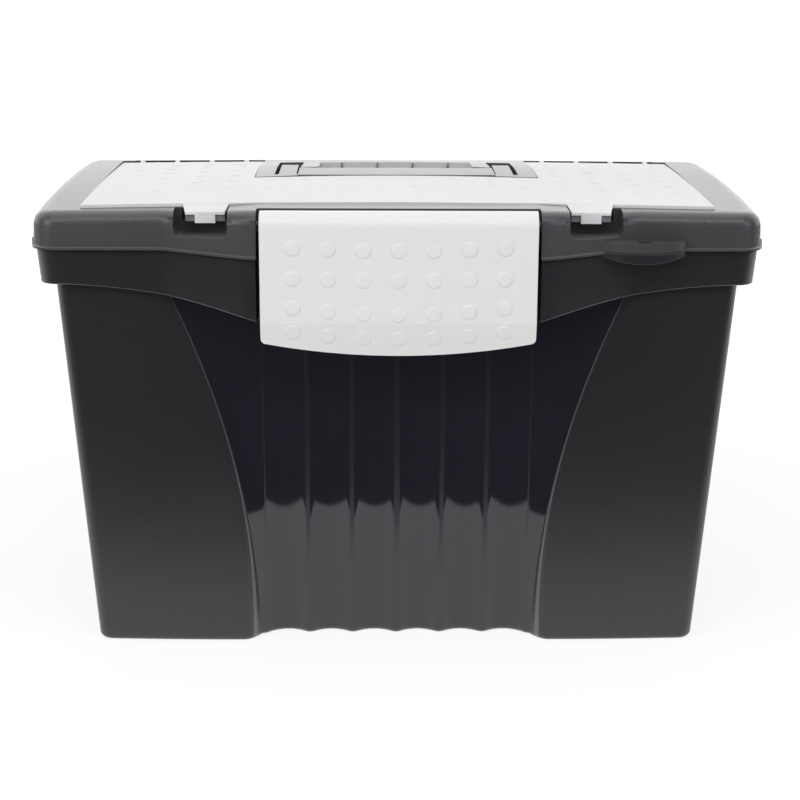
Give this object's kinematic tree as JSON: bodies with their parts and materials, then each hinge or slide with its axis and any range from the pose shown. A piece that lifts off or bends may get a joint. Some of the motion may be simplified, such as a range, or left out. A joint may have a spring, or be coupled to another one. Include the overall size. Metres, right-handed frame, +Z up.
{
  "type": "portable file box",
  "caption": "Portable file box: tapered tub with a fluted front and swooping collar, hinged lid with a domed organizer cover, fold-down carry handle, wide front latch and padlock ears.",
  "frame": {"origin": "middle of the flat bottom of the tub, on the table", "axes": "+X to the box's right as seen from the front, -Y towards the latch (front), +Z up"},
  "size_m": [0.4368, 0.2528, 0.2837],
  "materials": {
    "black_shell": "fine-textured black polypropylene, glossy in the fluted recess",
    "white_trim": "satin white polypropylene",
    "grey_handle": "satin dark grey polypropylene",
    "hinge_pin": "drawn steel wire"
  },
  "bodies": {
    "tub": {"box_tub": "black_shell", "lid_hinge_pin_left": "hinge_pin", "lid_hinge_pin_right": "hinge_pin"},
    "lid": {"lid_shell": "black_shell"},
    "cover": {"organizer_cover": "white_trim"},
    "handle": {"carry_handle": "grey_handle"},
    "latch": {"front_latch": "white_trim"}
  },
  "joints": [
    {"name": "lid_hinge", "type": "hinge", "parent": "tub", "child": "lid", "pos_m": [0, 0.1154, 0.2469], "axis": [-1, 0, 0], "range_deg": [0, 105]},
    {"name": "cover_hinge", "type": "hinge", "parent": "lid", "child": "cover", "pos_m": [0, 0.1007, 0.2734], "axis": [-1, 0, 0], "range_deg": [0, 100]},
    {"name": "handle_pivot", "type": "hinge", "parent": "lid", "child": "handle", "pos_m": [0, 0.052, 0.2664], "axis": [-1, 0, 0], "range_deg": [0, 90]},
    {"name": "latch_hinge", "type": "hinge", "parent": "lid", "child": "latch", "pos_m": [0, -0.124, 0.2683], "axis": [-1, 0, 0], "range_deg": [0, 80]}
  ]
}
